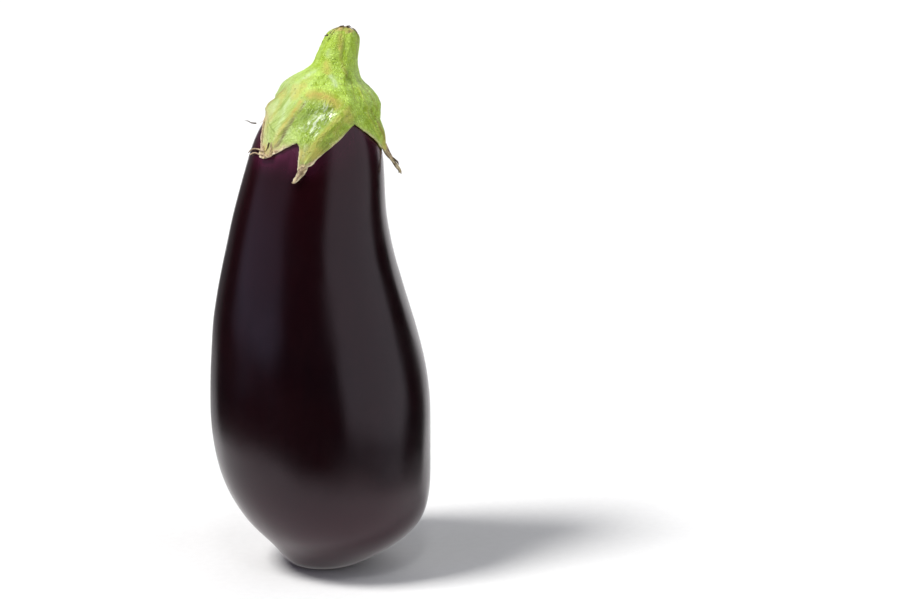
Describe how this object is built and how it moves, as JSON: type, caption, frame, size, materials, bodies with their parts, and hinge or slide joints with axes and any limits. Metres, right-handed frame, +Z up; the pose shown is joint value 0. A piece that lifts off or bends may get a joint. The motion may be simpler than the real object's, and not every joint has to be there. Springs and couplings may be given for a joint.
{
  "type": "whole eggplant",
  "caption": "Plump pear-shaped vegetable with smooth skin, capped by a lobed leafy calyx and a short cut stem, standing on a small flat spot at its wide end.",
  "frame": {"origin": "middle of the small flat spot on the wide end that the fruit rests on", "axes": "+Z up from the flat spot to the cut stem; -Y is the front, where the longest sepal in view hangs; the belly swells toward +X near its foot"},
  "size_m": [0.0904, 0.0915, 0.2222],
  "materials": {
    "eggplant_skin": "glossy thin waxy skin, nearly black maroon purple",
    "calyx_green": "satin fleshy green sepals and stem with dry tan tips and a corky cut end"
  },
  "bodies": {
    "root": {"fruit": "eggplant_skin", "calyx_and_stem": "calyx_green"}
  },
  "joints": []
}
